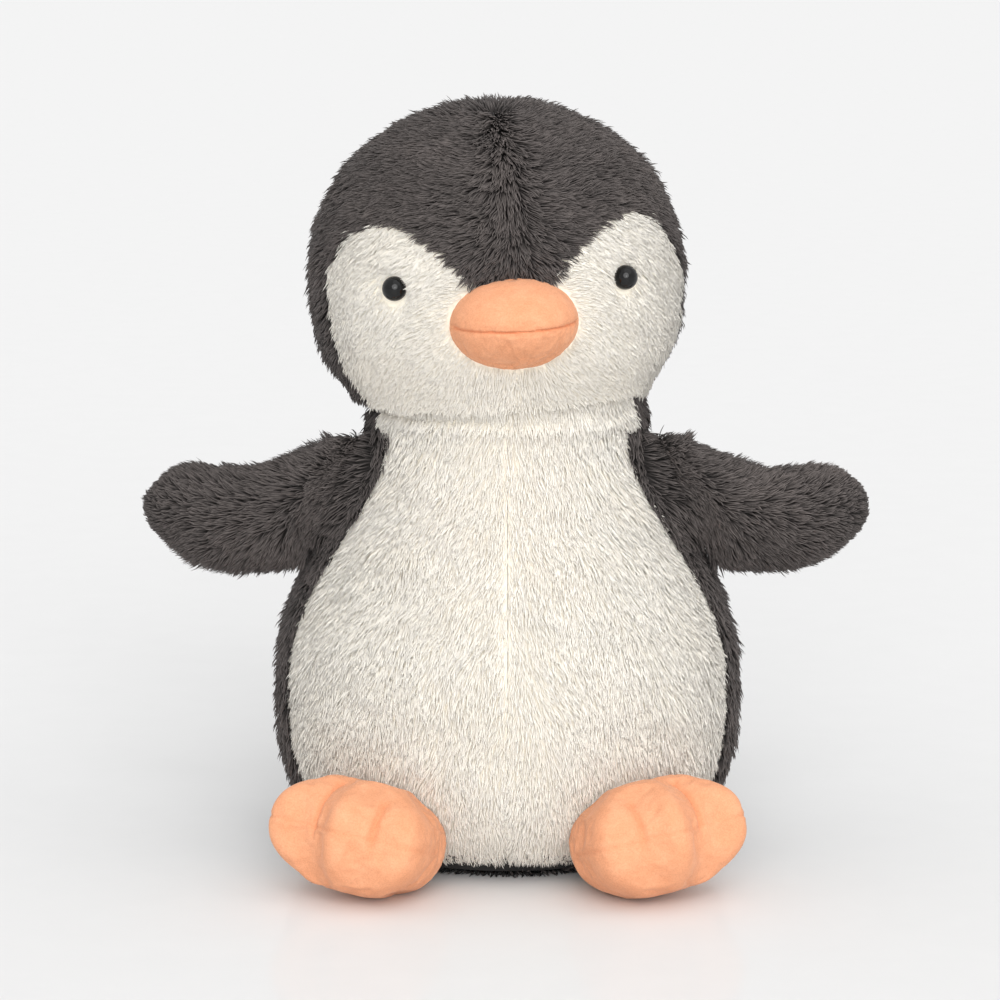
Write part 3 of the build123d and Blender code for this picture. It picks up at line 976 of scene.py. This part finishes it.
def neck_part(name, levels, count):
    co, tri = ring_grid(levels, NECK_STEPS, head_blend)
    mid = co[tri].mean(axis=1)
    pale = mid[:, 1] < -20
    for tone, mask, material, slot in (
        ("pale", pale, CREAM, "cream_plush"), ("dark", ~pale, GREY, "grey_plush")
    ):
        style = {**BELLY, "short": lambda p: 0.8 + 0 * p[:, 0], "raise": none_of, "lift": (38, 6)}
        share = mask.mean()
        grown = plush(
            f"neck_{tone}_{name}", co, tri[mask], np.ones(mask.sum(), bool),
            int(count * share), body_flow, style, material, 71 + len(tone) + len(name),
        )  # fmt: skip
        for piece in grown:
            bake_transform(piece)


low_ring = [(189.2, 57.9, 50.3), (191, 58.3, 51.4), (193.5, 57.7, 50.8), (196, 57.0, 50.2)]
top_ring = [(196, 57.0, 50.2), (198, 57.3, 50.7), (200.5, 57.9, 51.6), (203.2, 58.3, 52.4)]
neck_part("under", low_ring, NECK_LOCKS)
neck_part("over", top_ring, NECK_LOCKS)


def cuff(word, sign, name, stations):
    """A band of plush round a wing's root. Each station is its distance out from the root seam,
    its half height, its half thickness and how far it turns from the seam's line to the body's."""
    out = np.array([math.cos(WING_LEAN), 0, math.sin(WING_LEAN)])
    up = np.array([-math.sin(WING_LEAN), 0, math.cos(WING_LEAN)])
    steps, co, tri = CUFF_STEPS, [], []
    for along, tall, thick, turned_in in stations:
        across = up * (1 - turned_in) + np.array([-0.22, 0, 0.975]) * turned_in
        for k in range(steps):
            t = 2 * math.pi * k / steps
            p = WING_ROOT + out * along + across * tall * math.cos(t)
            p = p + np.array([0, thick * math.sin(t), 0])
            co.append(p * np.array([sign, 1, 1]))
    for r in range(len(stations) - 1):
        for k in range(steps):
            p, q = r * steps + k, r * steps + (k + 1) % steps
            quad = [(p, q, q + steps), (p, q + steps, p + steps)]
            tri += quad if sign > 0 else [t[::-1] for t in quad]
    co, tri = np.array(co), np.array(tri)[:, ::-1]
    style = {**WING, "lift": (42, 12), "length": 8}
    grown = plush(
        f"{word}_wing_{name}", co, tri, np.ones(len(tri), bool), CUFF_LOCKS, wing_flow(sign), style,
        GREY, 91 + sign + len(name),
    )  # fmt: skip
    for piece in grown:
        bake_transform(piece)


for word, sign in (("left", 1), ("right", -1)):
    inner = [(-14, 35, 11, 1), (-7, 26.5, 8.5, 1), (-3, 22.5, 7, 0.5), (0, 20, 6, 0)]
    outer = [(0, 20, 6, 0), (3.5, 20.5, 7, 0), (7, 20.8, 8.4, 0), (10.5, 20.6, 9.7, 0)]
    cuff(word, sign, "root_inner", inner)
    cuff(word, sign, "root_outer", outer)


# ---- Studio ----
def studio():
    scene = bpy.context.scene
    scene.view_settings.view_transform = "Standard"
    world = bpy.data.worlds.new("studio")
    scene.world = world
    world.use_nodes = True
    tree = world.node_tree
    dome = tree.nodes["Background"]
    dome.inputs[1].default_value = 0.8
    seen = tree.nodes.new("ShaderNodeBackground")  # the backdrop, as bright as the floor
    seen.inputs[0].default_value = (1, 1, 1, 1)
    dome.inputs[0].default_value = (1, 1, 1, 1)
    seen.inputs[1].default_value = 0.9
    path = tree.nodes.new("ShaderNodeLightPath")
    mix = tree.nodes.new("ShaderNodeMixShader")
    link(tree, path.outputs["Is Camera Ray"], mix.inputs[0])
    link(tree, dome.outputs[0], mix.inputs[1])
    link(tree, seen.outputs[0], mix.inputs[2])
    link(tree, mix.outputs[0], tree.nodes["World Output"].inputs["Surface"])

    def sun(name, strength, angle, pitch, yaw):
        data = bpy.data.lights.new(name, "SUN")
        data.energy = strength
        data.angle = math.radians(angle)
        obj = bpy.data.objects.new(name, data)
        obj.rotation_euler = (math.radians(pitch), 0, math.radians(yaw))
        scene.collection.objects.link(obj)

    sun("key", 1.9, 50, 66, 5)
    sun("fill", 0.42, 60, 30, 40)
    sun("glint", 0.16, 9, 72, 8)

    mesh = bpy.data.meshes.new("floor")
    far = FLOOR_HALF
    corners = [(-far, -far, 0), (far, -far, 0), (far, far, 0), (-far, far, 0)]
    mesh.from_pydata(corners, [], [(0, 1, 2, 3)])
    floor = bpy.data.objects.new("floor", mesh)
    scene.collection.objects.link(floor)
    material, tree, skin = new_material("studio_floor")
    grain = noise(tree, 40)
    tone = colour_ramp(tree, [(0.3, (0.78, 0.78, 0.78)), (0.7, (0.79, 0.79, 0.79))])
    link(tree, grain.outputs[0], tone.inputs[0])
    link(tree, tone.outputs[0], skin.inputs["Base Color"])
    skin.inputs["Roughness"].default_value = 1
    skin.inputs["Specular IOR Level"].default_value = 0
    gloss = tree.nodes.new("ShaderNodeBsdfGlossy")
    gloss.inputs["Roughness"].default_value = 0.12
    mix = tree.nodes.new("ShaderNodeMixShader")
    mix.inputs[0].default_value = 0.07
    link(tree, skin.outputs[0], mix.inputs[1])
    link(tree, gloss.outputs[0], mix.inputs[2])
    link(tree, mix.outputs[0], tree.nodes["Material Output"].inputs["Surface"])
    mesh.materials.append(material)

    camera = bpy.data.objects.new("camera", bpy.data.cameras.new("camera"))
    scene.collection.objects.link(camera)
    back = Vector((0, -math.cos(VIEW_ELEVATION), math.sin(VIEW_ELEVATION)))
    camera.location = VIEW_TARGET + VIEW_DISTANCE * back
    camera.rotation_euler = (math.pi / 2 - VIEW_ELEVATION, 0, 0)
    camera.data.sensor_width = 36
    camera.data.lens = 36 * VIEW_DISTANCE / VIEW_WIDTH
    camera.data.clip_end = 1000
    scene.camera = camera


studio()
